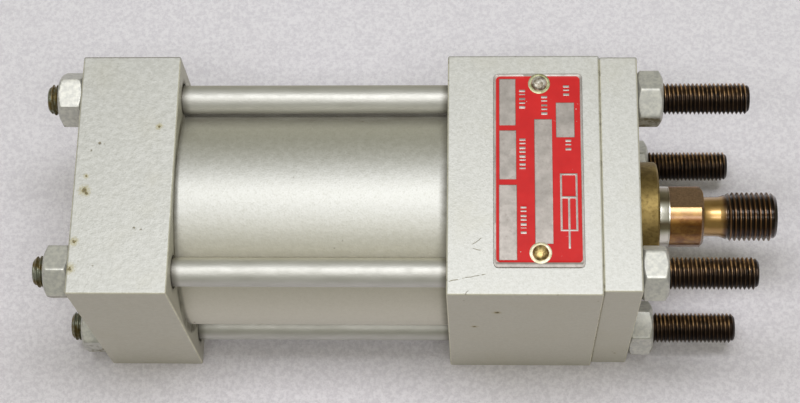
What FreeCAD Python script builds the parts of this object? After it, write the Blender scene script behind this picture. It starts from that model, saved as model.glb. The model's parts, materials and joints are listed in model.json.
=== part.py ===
import FreeCAD, Part
import os
import re
import Sketcher

# Square-head tie-rod air cylinder, 50.8 mm bore.
# +X runs along the piston rod, out of the front; +Z is up, through the nameplate.
# The origin is on the rod's axis, in the front face of the retainer plate.

SIZES = [
    # square blocks, plate and tube
    ("block_side", 63.5, "side of the square head and cap"),
    ("cap_length", 25.0, "rear cap along the axis"),
    ("head_length", 38.1, "front head along the axis"),
    ("plate_length", 9.525, "retainer plate along the axis"),
    ("plate_width", 62.2, "retainer plate across"),
    ("plate_height", 63.1, "retainer plate upright"),
    ("plate_shift", 0.3, "retainer plate's offset across"),
    ("edge_round", 0.5, "rounding of the blocks' edges"),
    ("tube_length", 68.07, "tube between the blocks"),
    ("tube_outer", 57.15, "tube outside diameter"),
    ("bore", 50.8, "tube inside diameter"),
    ("spigot_length", 6.0, "spigot of each block inside the tube"),
    ("spigot_gap", 0.1, "radial clearance of a spigot in the tube"),
    # tie rods and their nuts
    ("tie_spacing", 46.74, "centre distance of the tie rods, both ways"),
    ("tie_diameter", 7.94, "tie rod's threaded ends outside the nuts"),
    ("tie_shank", 7.25, "tie rod's shank and the threads inside the nuts, at pitch diameter"),
    ("tie_relief", 0.1, "gap between a nut and the full thread outside it"),
    ("tie_front", 28.575, "tie rod tip in front of the plate"),
    ("tie_rear", 9.8, "tie rod tip behind the cap"),
    ("tie_tip", 0.9, "chamfer on a tie rod's tip"),
    ("tie_hole", 8.5, "tie rod hole in the blocks"),
    ("nut_across", 12.7, "tie rod nut across flats"),
    ("nut_height", 6.7, "tie rod nut"),
    ("nut_face", 11.2, "diameter of a nut's round face"),
    ("nut_gap", 0.02, "radial gap between nut and tie rod"),
    ("front_turn_a", 33.0, "turn of front nut 1"),
    ("front_turn_b", 58.0, "turn of front nut 2"),
    ("front_turn_c", 10.0, "turn of front nut 3"),
    ("front_turn_d", 22.0, "turn of front nut 4"),
    ("rear_turn_a", 7.5, "turn of rear nut 1"),
    ("rear_turn_b", 44.0, "turn of rear nut 2"),
    ("rear_turn_c", 26.0, "turn of rear nut 3"),
    ("rear_turn_d", 51.0, "turn of rear nut 4"),
    # ports
    ("port_diameter", 14.7, "port thread, at its tapping size"),
    ("port_depth", 14.3, "depth of the port thread"),
    ("port_passage", 9.0, "passage from a port to the bore"),
    ("cap_port_inset", 13.5, "rear port ahead of the cap's rear face"),
    ("head_port_inset", 11.0, "front port ahead of the head's rear face"),
    ("cap_recess", 27.0, "recess for the piston nut in the cap"),
    ("cap_floor", 8.7, "cap left behind the nut recess"),
    ("head_bore", 22.0, "air space round the rod in the head"),
    # rod gland
    ("gland_body", 34.9, "gland inside the head"),
    ("gland_fit", 0.05, "radial clearance of the gland in the head"),
    ("gland_depth", 17.0, "gland behind the retainer plate"),
    ("gland_pilot", 28.575, "gland pilot in front of the plate"),
    ("gland_relief", 28.1, "gland inside the retainer plate"),
    ("gland_front", 6.35, "gland in front of the plate"),
    ("gland_chamfer", 0.5, "chamfer at the gland's mouth"),
    ("plate_hole", 28.7, "gland hole in the retainer plate"),
    ("rod_fit", 0.0625, "radial clearance of the rod in the gland"),
    ("wiper_seat", 22.6, "diameter of the wiper's seat"),
    ("wiper_depth", 3.8, "depth of the wiper's seat"),
    ("wiper_gap", 0.03, "radial gap round the wiper"),
    ("lip_seat", 22.2, "diameter of the rod seal's groove"),
    ("lip_start", 12.5, "rod seal groove ahead of the gland's rear face"),
    ("lip_width", 4.6, "width of the rod seal's groove"),
    ("ring_start", 4.0, "O-ring groove ahead of the gland's rear face"),
    ("ring_width", 3.6, "width of a housing O-ring groove"),
    ("ring_depth", 2.2, "depth of a housing O-ring groove"),
    # rod
    ("rod_diameter", 15.875, "piston rod"),
    ("flat_start", 9.6, "wrench flats start this far in front of the plate"),
    ("shoulder", 18.4, "rod's shoulder in front of the plate"),
    ("shoulder_chamfer", 0.8, "chamfer of the shoulder"),
    ("flat_across", 13.7, "wrench flats"),
    ("flat_turn", 61.0, "turn of the wrench flats"),
    ("neck_diameter", 10.3, "neck behind the thread"),
    ("neck_end", 22.3, "front end of the neck"),
    ("thread_start", 23.6, "full thread starts"),
    ("thread_end", 36.1, "full thread ends"),
    ("thread_diameter", 12.7, "rod thread"),
    ("rod_tip", 37.4, "rod's tip in front of the plate"),
    ("tip_diameter", 10.6, "rod's tip, inside its chamfer"),
    # piston
    ("stroke", 38.1, "working stroke"),
    ("piston_length", 17.8, "piston along the axis"),
    ("piston_diameter", 50.2, "piston"),
    ("piston_chamfer", 0.5, "chamfer of the piston's edges"),
    ("piston_bore", 12.8, "rod hole in the piston"),
    ("spigot_diameter", 12.7, "rod inside the piston"),
    ("land", 1.6, "land outside each seal groove"),
    ("seal_groove_width", 3.6, "piston seal groove"),
    ("seal_groove_depth", 4.2, "piston seal groove"),
    ("wear_width", 5.0, "wear ring groove"),
    ("wear_depth", 2.4, "wear ring groove"),
    ("wear_turn", 357.5, "angle that the split wear ring covers"),
    ("seal_play", 0.05, "play of a moving seal, each way"),
    ("rod_ring_width", 2.2, "O-ring groove on the rod inside the piston"),
    ("rod_ring_depth", 1.45, "O-ring groove on the rod inside the piston"),
    ("piston_nut_across", 19.05, "piston nut across flats"),
    ("piston_nut_height", 8.0, "piston nut"),
    ("piston_nut_face", 17.4, "diameter of the piston nut's round face"),
    ("rod_tail", 2.0, "rod behind the piston nut"),
    # nameplate
    ("label_length", 22.2, "nameplate along the axis"),
    ("label_width", 51.4, "nameplate across"),
    ("label_thick", 0.5, "nameplate"),
    ("label_corner", 1.2, "nameplate corner radius"),
    ("label_front", 13.95, "nameplate's front edge behind the plate face"),
    ("label_shift", 0.8, "nameplate's offset across"),
    ("screw_back", 24.7, "screws behind the plate face"),
    ("screw_far", 23.7, "far screw from the axis"),
    ("screw_near", 21.2, "near screw from the axis"),
    ("screw_head", 4.0, "drive screw head"),
    ("screw_head_height", 1.1, "drive screw head"),
    ("screw_head_round", 0.9, "rounding of the screw head"),
    ("screw_shank", 1.9, "drive screw shank"),
    ("screw_shank_length", 3.2, "shank below the nameplate"),
    ("screw_hole", 2.0, "hole for the shank"),
]

# Stations along the axis, each written with the sizes above.
PLATE_REAR = "-plate_length"
HEAD_REAR = "(-plate_length - head_length)"
CAP_FRONT = "(-plate_length - head_length - tube_length)"
CAP_REAR = "(-plate_length - head_length - tube_length - cap_length)"
HEAD_SPIGOT = "(-plate_length - head_length - spigot_length)"
CAP_SPIGOT = "(-plate_length - head_length - tube_length + spigot_length)"
GLAND_REAR = "(-plate_length - gland_depth)"
END_PLAY = "(tube_length - 2 * spigot_length - stroke - piston_length) / 2"
PISTON_REAR = "(%s + %s)" % (CAP_SPIGOT, END_PLAY)
PISTON_FRONT = "(%s + piston_length)" % PISTON_REAR
PISTON_MIDDLE = "(%s + piston_length / 2)" % PISTON_REAR
NUT_REAR = "(%s - piston_nut_height)" % PISTON_REAR
ROD_REAR = "(%s - rod_tail)" % NUT_REAR
REAR_SEAL = "(%s + land)" % PISTON_REAR
FRONT_SEAL = "(%s - land - seal_groove_width)" % PISTON_FRONT

# The four corners, counted round the axis: sign across, sign up, letter of the nuts' turns.
CORNERS = [(1, 1, "a"), (-1, 1, "b"), (-1, -1, "c"), (1, -1, "d")]

DOC = FreeCAD.newDocument("pneumatic_cylinder")
SHEET = DOC.addObject("Spreadsheet::Sheet", "Sizes")
PARTS = []


def fill_sheet():
    """Write each size to the sheet: its name, its number, what it is."""
    for row, (alias, number, note) in enumerate(SIZES, start=1):
        SHEET.set("A%d" % row, alias)
        SHEET.set("B%d" % row, str(number))
        SHEET.set("C%d" % row, note)
        SHEET.setAlias("B%d" % row, alias)
    DOC.recompute()


def on_sheet(expression):
    """Write the sheet's name before each size in an expression."""
    names = {alias for alias, number, note in SIZES}

    def full(word):
        return "Sizes." + word.group() if word.group() in names else word.group()

    return re.sub(r"[a-z_]+", full, expression)


def value(expression):
    """The number that an expression stands for now."""
    result = SHEET.evalExpression(on_sheet(expression))
    return float(getattr(result, "Value", result))


def bind(feature, setting, expression):
    """Tie one property of a feature to the sheet."""
    feature.setExpression(setting, on_sheet(expression))


def volume(body):
    """Volume of a body after a recompute."""
    DOC.recompute()
    return body.Shape.Volume


def new_body(label):
    """An empty body whose label names its file."""
    body = DOC.addObject("PartDesign::Body", label)
    body.Label = label
    PARTS.append(body)
    return body


def new_sketch(body, name, role, lift="0"):
    """A sketch on one of the body's origin planes, raised along the plane's normal."""
    plane = [item for item in body.Origin.OriginFeatures if item.Role == role][0]
    sketch = body.newObject("Sketcher::SketchObject", name)
    sketch.AttachmentSupport = [(plane, "")]
    sketch.MapMode = "FlatFace"
    if lift != "0":
        bind(sketch, "AttachmentOffset.Base.z", lift)
    return sketch


def pin_point(sketch, curve, point, across, up):
    """Dimension one point of a curve from the sketch's origin."""
    for kind, axis, expression in (("DistanceX", -2, across), ("DistanceY", -1, up)):
        distance = value(expression)
        if abs(distance) < 1e-9:
            sketch.addConstraint(Sketcher.Constraint("PointOnObject", curve, point, axis))
        else:
            rule = Sketcher.Constraint(kind, -1, 1, curve, point, distance)
            number = sketch.addConstraint(rule)
            bind(sketch, "Constraints[%d]" % number, expression)


def draw_outline(sketch, corners):
    """A closed outline of straight lines with every corner dimensioned."""
    places = [FreeCAD.Vector(value(across), value(up), 0) for across, up in corners]
    first = sketch.GeometryCount
    for here, there in zip(places, places[1:] + places[:1]):
        sketch.addGeometry(Part.LineSegment(here, there), False)
    for step, (across, up) in enumerate(corners):
        following = first + (step + 1) % len(corners)
        sketch.addConstraint(Sketcher.Constraint("Coincident", first + step, 2, following, 1))
        pin_point(sketch, first + step, 1, across, up)


def draw_circle(sketch, across, up, diameter):
    """A dimensioned circle."""
    centre = FreeCAD.Vector(value(across), value(up), 0)
    circle = Part.Circle(centre, FreeCAD.Vector(0, 0, 1), value(diameter) / 2)
    curve = sketch.addGeometry(circle, False)
    pin_point(sketch, curve, 3, across, up)
    number = sketch.addConstraint(Sketcher.Constraint("Diameter", curve, value(diameter)))
    bind(sketch, "Constraints[%d]" % number, diameter)


def rectangle(left, right, low, high):
    """Corners of an upright rectangle."""
    return [(left, low), (right, low), (right, high), (left, high)]


def turned(body, name, outlines, kind="PartDesign::Revolution", angle=None):
    """Revolve outlines, drawn as (station, radius), about the body's X axis."""
    before = volume(body) if kind == "PartDesign::Groove" else None
    sketch = new_sketch(body, name + "_outline", "XY_Plane")
    for outline in outlines:
        draw_outline(sketch, outline)
    feature = body.newObject(kind, name)
    feature.Profile = (sketch, [""])
    feature.ReferenceAxis = (sketch, ["H_Axis"])
    feature.Angle = 360
    if angle:
        bind(feature, "Angle", angle)
    if before is not None and volume(body) >= before - 1e-6:
        raise RuntimeError("%s removes nothing from %s" % (name, body.Label))
    return feature


def cut(body, name, sketch, depth):
    """Pocket a sketch against its plane's normal and make sure that it removes material."""
    before = volume(body)
    pocket = body.newObject("PartDesign::Pocket", name)
    pocket.Profile = (sketch, [""])
    pocket.Type = "Length"
    bind(pocket, "Length", depth)
    if volume(body) >= before - 1e-6:
        raise RuntimeError("%s removes nothing from %s" % (name, body.Label))
    return pocket


def square_block(body, front, length, width="block_side", height="block_side", shift="0"):
    """A square block that ends at a station, with all its edges rounded."""
    sketch = new_sketch(body, "section", "YZ_Plane", "%s - %s" % (front, length))
    half = "%s / 2" % width
    corners = rectangle("%s - %s" % (shift, half), "%s + %s" % (shift, half),
                        "-%s / 2" % height, "%s / 2" % height)
    draw_outline(sketch, corners)
    pad = body.newObject("PartDesign::Pad", "block")
    pad.Profile = (sketch, [""])
    bind(pad, "Length", length)
    DOC.recompute()
    fillet = body.newObject("PartDesign::Fillet", "soft_edges")
    fillet.Base = (pad, ["Edge%d" % (number + 1) for number in range(len(pad.Shape.Edges))])
    bind(fillet, "Radius", "edge_round")
    DOC.recompute()


def tie_holes(body, front, length):
    """The four tie rod holes through a block."""
    sketch = new_sketch(body, "tie_hole_circles", "YZ_Plane", front)
    for across, up, letter in CORNERS:
        draw_circle(sketch, "%d * tie_spacing / 2" % across, "%d * tie_spacing / 2" % up, "tie_hole")
    cut(body, "tie_holes", sketch, length)


def side_port(body, station, inner_radius):
    """A port from the far side: a threaded hole, then a passage to the bore."""
    for name, diameter, bottom in (("port", "port_diameter", "(block_side / 2 - port_depth)"),
                                   ("passage", "port_passage", inner_radius)):
        sketch = new_sketch(body, name + "_circle", "XZ_Plane", "-%s" % bottom)
        draw_circle(sketch, station, "0", diameter)
        before = volume(body)
        pocket = body.newObject("PartDesign::Pocket", name)
        pocket.Profile = (sketch, [""])
        pocket.Type = "ThroughAll"
        if volume(body) >= before - 1e-6:
            raise RuntimeError("%s removes nothing from %s" % (name, body.Label))


def spigot(body, face, tip, step_in):
    """A block's round spigot inside the tube, with its O-ring groove.

    step_in is the sign from the block's face towards the spigot's tip.
    """
    outer = "(bore / 2 - spigot_gap)"
    chamfer = "0.8"
    root = "%s - %s * edge_round" % (face, step_in)
    turned(body, "spigot", [[(root, "0"), (root, outer),
                             ("%s - %s * %s" % (tip, step_in, chamfer), outer),
                             (tip, "%s - %s" % (outer, chamfer)), (tip, "0")]])
    middle = "(%s + %s) / 2" % (face, tip)
    turned(body, "spigot_groove", [rectangle("%s - ring_width / 2" % middle,
                                             "%s + ring_width / 2" % middle,
                                             "%s - ring_depth" % outer, "bore / 2")],
           kind="PartDesign::Groove")


def o_ring(label, station, groove_radius, wall_radius):
    """An O-ring that fills the gap between a groove's floor and the wall over it."""
    ring = DOC.addObject("Part::Torus", label)
    ring.Label = label
    thickness = "(%s - (%s))" % (wall_radius, groove_radius)
    bind(ring, "Radius1", "(%s + (%s)) / 2" % (wall_radius, groove_radius))
    bind(ring, "Radius2", "%s / 2 - 0.01" % thickness)
    ring.Placement = FreeCAD.Placement(FreeCAD.Vector(0, 0, 0),
                                       FreeCAD.Rotation(FreeCAD.Vector(0, 1, 0), 90))
    bind(ring, "Placement.Base.x", station)
    PARTS.append(ring)
    return ring


def make_rear_cap():
    body = new_body("rear_cap")
    square_block(body, CAP_FRONT, "cap_length")
    spigot(body, CAP_FRONT, CAP_SPIGOT, 1)
    turned(body, "nut_recess", [rectangle("%s + cap_floor" % CAP_REAR, CAP_SPIGOT,
                                          "0", "cap_recess / 2")], kind="PartDesign::Groove")
    tie_holes(body, CAP_FRONT, "cap_length")
    side_port(body, "%s + cap_port_inset" % CAP_REAR, "0")


def make_front_head():
    body = new_body("front_head")
    square_block(body, PLATE_REAR, "head_length")
    spigot(body, HEAD_REAR, HEAD_SPIGOT, -1)
    gland_hole = "gland_body / 2 + gland_fit"
    turned(body, "rod_space", [[(HEAD_SPIGOT, "0"), (HEAD_SPIGOT, "head_bore / 2"),
                                (GLAND_REAR, "head_bore / 2"), (GLAND_REAR, gland_hole),
                                (PLATE_REAR, gland_hole), (PLATE_REAR, "0")]],
           kind="PartDesign::Groove")
    tie_holes(body, PLATE_REAR, "head_length")
    side_port(body, "%s + head_port_inset" % HEAD_REAR, "0")
    sketch = new_sketch(body, "screw_circles", "XY_Plane", "block_side / 2")
    for across in ("screw_far", "-screw_near"):
        draw_circle(sketch, "-screw_back", across, "screw_hole")
    cut(body, "screw_holes", sketch, "screw_shank_length")


def make_retainer_plate():
    body = new_body("retainer_plate")
    square_block(body, "0 * plate_length", "plate_length", "plate_width", "plate_height", "plate_shift")
    turned(body, "gland_hole", [rectangle(PLATE_REAR, "0", "0", "plate_hole / 2")],
           kind="PartDesign::Groove")
    tie_holes(body, "0", "plate_length")


def make_cylinder_tube():
    body = new_body("cylinder_tube")
    turned(body, "wall", [rectangle(CAP_FRONT, HEAD_REAR, "bore / 2", "tube_outer / 2")])


def place_at_corner(body, across, up, station=None, turn=None):
    """Put a body at one corner of the square, optionally slid along and turned about X."""
    body.Placement = FreeCAD.Placement(FreeCAD.Vector(0, 0, 0),
                                       FreeCAD.Rotation(FreeCAD.Vector(1, 0, 0), 1))
    bind(body, "Placement.Base.y", "%d * tie_spacing / 2" % across)
    bind(body, "Placement.Base.z", "%d * tie_spacing / 2" % up)
    if station:
        bind(body, "Placement.Base.x", station)
    if turn:
        bind(body, "Placement.Rotation.Angle", turn)


def make_tie_rods():
    for number, (across, up, letter) in enumerate(CORNERS, start=1):
        body = new_body("tie_rod_%d" % number)
        radius = "tie_diameter / 2"
        shank = "tie_shank / 2"
        rear = "%s - tie_rear" % CAP_REAR
        rear_step = "%s - nut_height - tie_relief" % CAP_REAR
        front_step = "nut_height + tie_relief"
        turned(body, "rod", [[(rear, "0"), (rear, radius + " - tie_tip"),
                              (rear + " + tie_tip", radius), (rear_step, radius),
                              (rear_step, shank), (front_step, shank),
                              (front_step, radius), ("tie_front - tie_tip", radius),
                              ("tie_front", radius + " - tie_tip"), ("tie_front", "0")]])
        place_at_corner(body, across, up)


def hex_nut(label, across, height, face, bore_radius):
    """A bevelled hexagon nut that stands on the YZ plane and rises along +X."""
    body = new_body(label)
    prism = body.newObject("PartDesign::AdditivePrism", "hexagon")
    plane = [item for item in body.Origin.OriginFeatures if item.Role == "YZ_Plane"][0]
    prism.AttachmentSupport = [(plane, "")]
    prism.MapMode = "FlatFace"
    prism.Polygon = 6
    bind(prism, "Circumradius", "%s / sqrt(3)" % across)
    bind(prism, "Height", height)
    outside = "%s" % across
    inner = "%s / 2" % face
    slope = "(%s - %s) * tan(30)" % (outside, inner)
    turned(body, "bevels_and_hole",
           [[("0", inner), ("0", outside), (slope, outside)],
            [(height, inner), (height, outside), ("%s - %s" % (height, slope), outside)],
            rectangle("0", height, "0", bore_radius)],
           kind="PartDesign::Groove")
    return body


def make_tie_nuts():
    for row, station in (("front", "0"), ("rear", "%s - nut_height" % CAP_REAR)):
        for number, (across, up, letter) in enumerate(CORNERS, start=1):
            body = hex_nut("%s_nut_%d" % (row, number), "nut_across", "nut_height", "nut_face",
                           "tie_shank / 2 + nut_gap")
            place_at_corner(body, across, up, station if row == "rear" else None,
                            "%s_turn_%s" % (row, letter))


def make_rod_gland():
    body = new_body("rod_gland")
    outer = "gland_body / 2"
    pilot = "gland_pilot / 2"
    inner = "rod_diameter / 2 + rod_fit"
    turned(body, "bushing", [[(GLAND_REAR, inner), (GLAND_REAR, outer), (PLATE_REAR, outer),
                              (PLATE_REAR, "gland_relief / 2"), ("0", "gland_relief / 2"),
                              ("0", pilot), ("gland_front - gland_chamfer", pilot),
                              ("gland_front", pilot + " - gland_chamfer"),
                              ("gland_front", inner)]])
    wiper = rectangle("gland_front - wiper_depth", "gland_front + 1", "0", "wiper_seat / 2")
    lip = rectangle("%s + lip_start" % GLAND_REAR, "%s + lip_start + lip_width" % GLAND_REAR,
                    "0", "lip_seat / 2")
    ring = rectangle("%s + ring_start" % GLAND_REAR, "%s + ring_start + ring_width" % GLAND_REAR,
                     outer + " - ring_depth", outer + " + 1")
    turned(body, "seal_grooves", [wiper, lip, ring], kind="PartDesign::Groove")


def lip_seal(label, low, high, inner, outer, mouth):
    """A lip seal: a ring with a V groove in one face.

    mouth is +1 where the groove opens towards +X and -1 towards -X.
    """
    body = new_body(label)
    open_face, closed_face = (high, low) if mouth > 0 else (low, high)
    middle = "((%s) + (%s)) / 2" % (inner, outer)
    bottom = "%s - 0.6 * ((%s) - (%s))" % (open_face, open_face, closed_face)
    lip = "0.35 * ((%s) - (%s))" % (outer, inner)
    outline = [(closed_face, inner), (closed_face, outer), (open_face, outer),
               (open_face, "%s + %s" % (middle, lip)), (bottom, middle),
               (open_face, "%s - %s" % (middle, lip)), (open_face, inner)]
    turned(body, "ring", [outline])
    return body


def make_gland_seals():
    rod_side = "rod_diameter / 2 + 0.05"
    start = "(%s + lip_start)" % GLAND_REAR
    lip_seal("rod_seal", "%s + 0.05" % start, "%s + lip_width - 0.05" % start, rod_side,
             "lip_seat / 2", -1)
    body = new_body("rod_wiper")
    seat = "gland_front - wiper_depth"
    outer = "wiper_seat / 2 - wiper_gap"
    turned(body, "ring", [[(seat, rod_side + " + 0.9"), (seat, outer),
                           ("gland_front - 0.5", outer),
                           ("gland_front - 0.5", outer + " - 1.4"),
                           ("gland_front - 1.1", rod_side + " + 1.7"),
                           ("gland_front + 0.6", rod_side + " + 0.25"),
                           ("gland_front + 0.6", rod_side),
                           ("%s + 1.2" % seat, rod_side + " + 0.1")]])
    outer = "gland_body / 2"
    o_ring("gland_o_ring", "%s + ring_start + ring_width / 2" % GLAND_REAR,
           outer + " - ring_depth", "(%s + gland_fit)" % outer)


def make_tube_seals():
    floor = "bore / 2 - spigot_gap - ring_depth"
    o_ring("tube_seal_front", "(%s + %s) / 2" % (HEAD_REAR, HEAD_SPIGOT), floor, "bore / 2")
    o_ring("tube_seal_rear", "(%s + %s) / 2" % (CAP_FRONT, CAP_SPIGOT), floor, "bore / 2")


def make_piston_rod():
    body = new_body("piston_rod")
    rod = "rod_diameter / 2"
    inner = "spigot_diameter / 2"
    thread = "thread_diameter / 2"
    turned(body, "rod", [[(ROD_REAR, "0"), (ROD_REAR, inner + " - 1"),
                          ("%s + 1" % ROD_REAR, inner), (PISTON_FRONT, inner),
                          (PISTON_FRONT, rod), ("shoulder - shoulder_chamfer", rod),
                          ("shoulder", rod + " - shoulder_chamfer"),
                          ("shoulder", "neck_diameter / 2"), ("neck_end", "neck_diameter / 2"),
                          ("thread_start", thread), ("thread_end", thread),
                          ("rod_tip", "tip_diameter / 2"), ("rod_tip", "0")]])
    middle = PISTON_MIDDLE
    turned(body, "ring_groove", [rectangle("%s - rod_ring_width / 2" % middle,
                                           "%s + rod_ring_width / 2" % middle,
                                           inner + " - rod_ring_depth", inner + " + 0.5")],
           kind="PartDesign::Groove")
    sketch = new_sketch(body, "flat_sections", "YZ_Plane", "shoulder")
    for sign in ("", "-"):
        low, high = sign + "flat_across / 2", sign + "rod_diameter"
        draw_outline(sketch, rectangle(low, high, "-rod_diameter", "rod_diameter"))
    cut(body, "wrench_flats", sketch, "shoulder - flat_start")
    body.Placement = FreeCAD.Placement(FreeCAD.Vector(0, 0, 0),
                                       FreeCAD.Rotation(FreeCAD.Vector(1, 0, 0), 1))
    bind(body, "Placement.Rotation.Angle", "flat_turn")
    o_ring("piston_o_ring", middle, inner + " - rod_ring_depth", "piston_bore / 2")


def make_piston():
    body = new_body("piston")
    outer = "piston_diameter / 2"
    turned(body, "disc", [[(PISTON_REAR, "piston_bore / 2"),
                           (PISTON_REAR, outer + " - piston_chamfer"),
                           ("%s + piston_chamfer" % PISTON_REAR, outer),
                           ("%s - piston_chamfer" % PISTON_FRONT, outer),
                           (PISTON_FRONT, outer + " - piston_chamfer"),
                           (PISTON_FRONT, "piston_bore / 2")]])
    beyond = outer + " + 1"
    seals = [rectangle(start, "%s + seal_groove_width" % start, outer + " - seal_groove_depth", beyond)
             for start in (REAR_SEAL, FRONT_SEAL)]
    wear = rectangle("%s - wear_width / 2" % PISTON_MIDDLE, "%s + wear_width / 2" % PISTON_MIDDLE,
                     outer + " - wear_depth", beyond)
    turned(body, "grooves", seals + [wear], kind="PartDesign::Groove")
    nut = hex_nut("piston_nut", "piston_nut_across", "piston_nut_height", "piston_nut_face",
                  "spigot_diameter / 2 + nut_gap")
    bind(nut, "Placement.Base.x", NUT_REAR)


def make_piston_seals():
    inner = "piston_diameter / 2 - seal_groove_depth + seal_play"
    outer = "bore / 2 - seal_play"
    for label, start, mouth in (("piston_seal_rear", REAR_SEAL, -1),
                                ("piston_seal_front", FRONT_SEAL, 1)):
        lip_seal(label, "%s + seal_play" % start, "%s + seal_groove_width - seal_play" % start,
                 inner, outer, mouth)
    body = new_body("wear_ring")
    half = "(wear_width / 2 - seal_play)"
    turned(body, "band", [rectangle("%s - %s" % (PISTON_MIDDLE, half),
                                    "%s + %s" % (PISTON_MIDDLE, half),
                                    "piston_diameter / 2 - wear_depth + seal_play", outer)],
           angle="wear_turn")


def make_nameplate():
    body = new_body("nameplate")
    sketch = new_sketch(body, "outline", "XY_Plane", "block_side / 2")
    draw_outline(sketch, rectangle("-label_front - label_length", "-label_front",
                                   "label_shift - label_width / 2",
                                   "label_shift + label_width / 2"))
    pad = body.newObject("PartDesign::Pad", "sheet")
    pad.Profile = (sketch, [""])
    bind(pad, "Length", "label_thick")
    DOC.recompute()
    upright = [number + 1 for number, edge in enumerate(pad.Shape.Edges)
               if abs(edge.tangentAt(edge.FirstParameter).z) > 0.99]
    fillet = body.newObject("PartDesign::Fillet", "round_corners")
    fillet.Base = (pad, ["Edge%d" % number for number in upright])
    bind(fillet, "Radius", "label_corner")
    sketch = new_sketch(body, "screw_circles", "XY_Plane", "block_side / 2 + label_thick")
    for across in ("screw_far", "-screw_near"):
        draw_circle(sketch, "-screw_back", across, "screw_hole")
    cut(body, "screw_holes", sketch, "label_thick")


def make_plate_screws():
    for number, across in enumerate(("screw_far", "-screw_near"), start=1):
        body = new_body("plate_screw_%d" % number)
        head = new_sketch(body, "head_circle", "XY_Plane")
        draw_circle(head, "0", "0", "screw_head")
        pad = body.newObject("PartDesign::Pad", "head")
        pad.Profile = (head, [""])
        bind(pad, "Length", "screw_head_height")
        DOC.recompute()
        top = [number + 1 for number, edge in enumerate(pad.Shape.Edges)
               if edge.Closed and edge.CenterOfMass.z > value("screw_head_height") / 2]
        fillet = body.newObject("PartDesign::Fillet", "dome")
        fillet.Base = (pad, ["Edge%d" % number for number in top])
        bind(fillet, "Radius", "screw_head_round")
        DOC.recompute()
        shank = new_sketch(body, "shank_circle", "XY_Plane", "0 - screw_shank_length")
        draw_circle(shank, "0", "0", "screw_shank")
        pin = body.newObject("PartDesign::Pad", "shank")
        pin.Profile = (shank, [""])
        bind(pin, "Length", "screw_shank_length + 0.1")
        bind(body, "Placement.Base.x", "-screw_back")
        bind(body, "Placement.Base.y", across)
        bind(body, "Placement.Base.z", "block_side / 2 + label_thick")


def check():
    """Stop unless every feature recomputed and every sub-part is one sound solid."""
    DOC.recompute()
    for item in DOC.Objects:
        if "Invalid" in item.State or "Error" in item.State:
            raise RuntimeError("%s: %s" % (item.Label, item.State))
    for item in PARTS:
        shape = item.Shape
        if shape.isNull() or not shape.isValid() or len(shape.Solids) != 1:
            raise RuntimeError("%s isn't one sound solid" % item.Label)


def export():
    """Write one STEP file for each sub-part."""
    os.makedirs("parts", exist_ok=True)
    for item in PARTS:
        item.Shape.exportStep("parts/%s.step" % item.Label)


fill_sheet()
make_rear_cap()
make_front_head()
make_retainer_plate()
make_cylinder_tube()
make_tie_rods()
make_tie_nuts()
make_rod_gland()
make_gland_seals()
make_tube_seals()
make_piston_rod()
make_piston()
make_piston_seals()
make_nameplate()
make_plate_screws()
check()
export()
print("%d sub-parts" % len(PARTS))
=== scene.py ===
import json
import math

import bmesh
import bpy
from mathutils import Matrix, Vector

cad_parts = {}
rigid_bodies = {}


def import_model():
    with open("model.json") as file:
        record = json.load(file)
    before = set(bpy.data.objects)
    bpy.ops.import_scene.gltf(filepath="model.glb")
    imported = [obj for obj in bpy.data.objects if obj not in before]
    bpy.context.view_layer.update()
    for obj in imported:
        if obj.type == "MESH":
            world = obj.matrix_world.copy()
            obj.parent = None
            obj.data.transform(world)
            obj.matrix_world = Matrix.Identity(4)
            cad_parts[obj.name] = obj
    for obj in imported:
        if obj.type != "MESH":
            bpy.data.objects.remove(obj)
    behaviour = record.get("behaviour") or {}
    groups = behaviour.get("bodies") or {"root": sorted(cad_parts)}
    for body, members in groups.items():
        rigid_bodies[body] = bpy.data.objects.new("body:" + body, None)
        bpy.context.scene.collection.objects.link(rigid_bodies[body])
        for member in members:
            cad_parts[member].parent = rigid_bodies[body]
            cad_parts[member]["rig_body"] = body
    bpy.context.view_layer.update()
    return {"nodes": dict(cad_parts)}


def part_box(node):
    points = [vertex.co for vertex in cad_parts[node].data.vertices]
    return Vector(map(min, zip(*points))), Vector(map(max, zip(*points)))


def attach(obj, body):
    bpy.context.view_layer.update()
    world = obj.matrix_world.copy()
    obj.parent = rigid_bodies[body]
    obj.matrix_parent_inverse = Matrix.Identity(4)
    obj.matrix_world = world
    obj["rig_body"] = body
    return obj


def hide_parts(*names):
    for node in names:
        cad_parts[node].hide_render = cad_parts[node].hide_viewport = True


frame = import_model()
NODES = frame["nodes"]

# Lengths in this file are in millimetres of the CAD frame, and MM turns them into metres.
# The cylinder's axis is X, with the rod at +X and the retainer plate's front at x = 0.
MM = 0.001

# Square cap and head; a pilot on each reaches past the square face into the tube
BLOCK_HALF = 31.75
CAP_LENGTH = 25.0
PILOT_LENGTH = 6.0
PORT_STATIONS = {"rear": -127.195, "front": -36.625}

# Tie rods and nuts, numbered as in the CAD: (side along Y, side along Z)
CORNERS = ((1, 1), (-1, 1), (-1, -1), (1, -1))
TIE_HALF_SPACING = 23.37
TIE_PITCH = 1.0583
TIE_MAJOR = 3.97
TIE_ROOT = 3.32
TIE_SHANK = 3.625
NUT_APOTHEM = 6.35
NUT_HEIGHT = 6.7
NUT_FACE = 5.6  # radius where the bevel starts
NUT_BORE = 3.66
# How far each nut happens to be turned, in degrees
FRONT_TURNS = (33.0, 58.0, 10.0, 22.0)
REAR_TURNS = (7.5, 44.0, 26.0, 51.0)

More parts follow.
